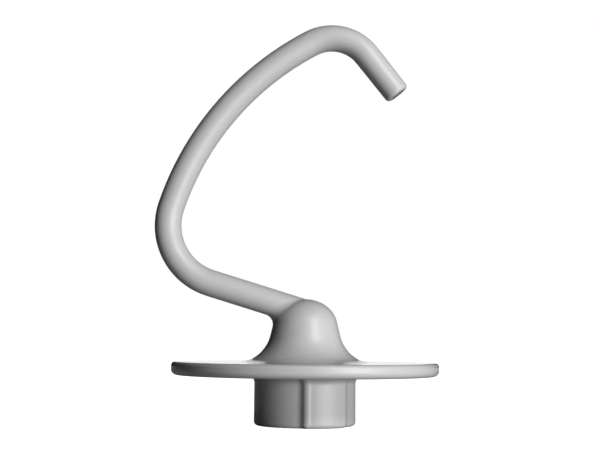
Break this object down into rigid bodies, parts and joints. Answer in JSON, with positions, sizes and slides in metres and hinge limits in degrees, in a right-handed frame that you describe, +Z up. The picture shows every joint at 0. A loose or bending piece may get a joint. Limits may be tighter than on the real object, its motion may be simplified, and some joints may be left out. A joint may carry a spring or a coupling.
{
  "type": "stand mixer dough hook",
  "caption": "Coated C-shaped dough hook: a round curved arm rising from a bell-shaped boss over a flat guard disc, with a short bored hub and internal bayonet slot.",
  "frame": {"origin": "axis of the shaft bore at the hub's mouth face", "axes": "+Z up the bore axis from the mouth to the hook, X in the plane of the arm with the arm leaning to -X, Y across the arm"},
  "size_m": [0.0885, 0.0824, 0.1254],
  "materials": {
    "grey_coat": "smooth semi-gloss light grey polymer coat",
    "bare_casting": "cast aluminium, machined at the mouth and in the bore"
  },
  "bodies": {
    "root": {"hub_casting": "bare_casting", "guard_disc_casting": "bare_casting", "boss_casting": "bare_casting", "hook_arm_casting": "bare_casting", "hub_coat": "grey_coat", "guard_disc_coat": "grey_coat", "boss_coat": "grey_coat", "hook_arm_coat": "grey_coat"}
  },
  "joints": []
}
